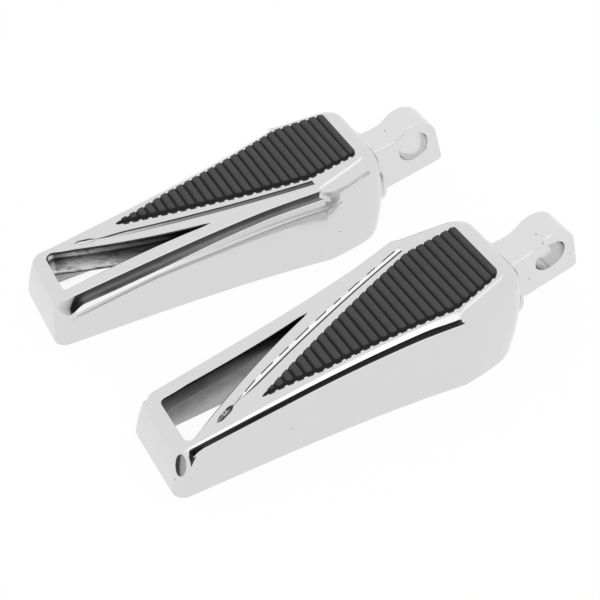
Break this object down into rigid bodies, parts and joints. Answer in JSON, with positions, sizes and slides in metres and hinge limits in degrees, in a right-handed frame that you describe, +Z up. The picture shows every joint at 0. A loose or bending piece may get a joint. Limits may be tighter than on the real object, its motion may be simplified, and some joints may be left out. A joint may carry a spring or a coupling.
{
  "type": "foot peg pair",
  "caption": "Pair of chromed motorbike foot pegs: hollow wedge castings with a triangular window, ribbed rubber pad and bolted lug with a cross bore.",
  "frame": {"origin": "on the floor under the middle of the pair's outer box", "axes": "+Z up, +X along the right peg toward its mounting lug, +Y from the right peg to the left peg"},
  "size_m": [0.1358, 0.0964, 0.0301],
  "materials": {
    "casting": "bright chrome plating on a die casting",
    "lug": "bright chrome plating, slightly satin",
    "pad": "matt black moulded rubber with cross ribs",
    "plate": "zinc-plated steel",
    "fasteners": "zinc-plated steel"
  },
  "bodies": {
    "root": {"right_body": "casting", "right_pad": "pad", "right_pad_plate": "plate", "right_pad_screws": "fasteners", "right_lug": "lug", "right_lug_bolt": "fasteners", "right_lock_washer": "fasteners", "right_flat_washer": "fasteners", "right_lug_pin": "fasteners", "left_body": "casting", "left_pad": "pad", "left_pad_plate": "plate", "left_pad_screws": "fasteners", "left_lug": "lug", "left_lug_bolt": "fasteners", "left_lock_washer": "fasteners", "left_flat_washer": "fasteners", "left_lug_pin": "fasteners"}
  },
  "joints": []
}
